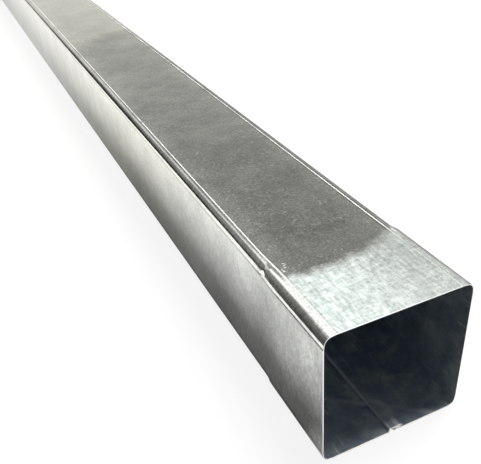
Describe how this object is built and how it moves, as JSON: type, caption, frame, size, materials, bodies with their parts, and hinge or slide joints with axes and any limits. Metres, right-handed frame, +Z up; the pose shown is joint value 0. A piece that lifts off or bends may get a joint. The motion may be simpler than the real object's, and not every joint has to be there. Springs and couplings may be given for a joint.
{
  "type": "square metal tube",
  "caption": "Square sheet-metal downpipe tube with a lock seam inside one wall and one end expanded into a socket for the next length.",
  "frame": {"origin": "middle of the length, on the level that the socket's underside rests on", "axes": "+Y along the tube from the socket's mouth to the plain end, +Z up, lock seam in the bottom wall"},
  "size_m": [0.102, 2, 0.102],
  "materials": {
    "zinc_sheet": "mill-finish rolled titanium-zinc sheet, satin, with rub marks and a paler bloom on the socket"
  },
  "bodies": {
    "root": {"square_tube": "zinc_sheet"}
  },
  "joints": []
}
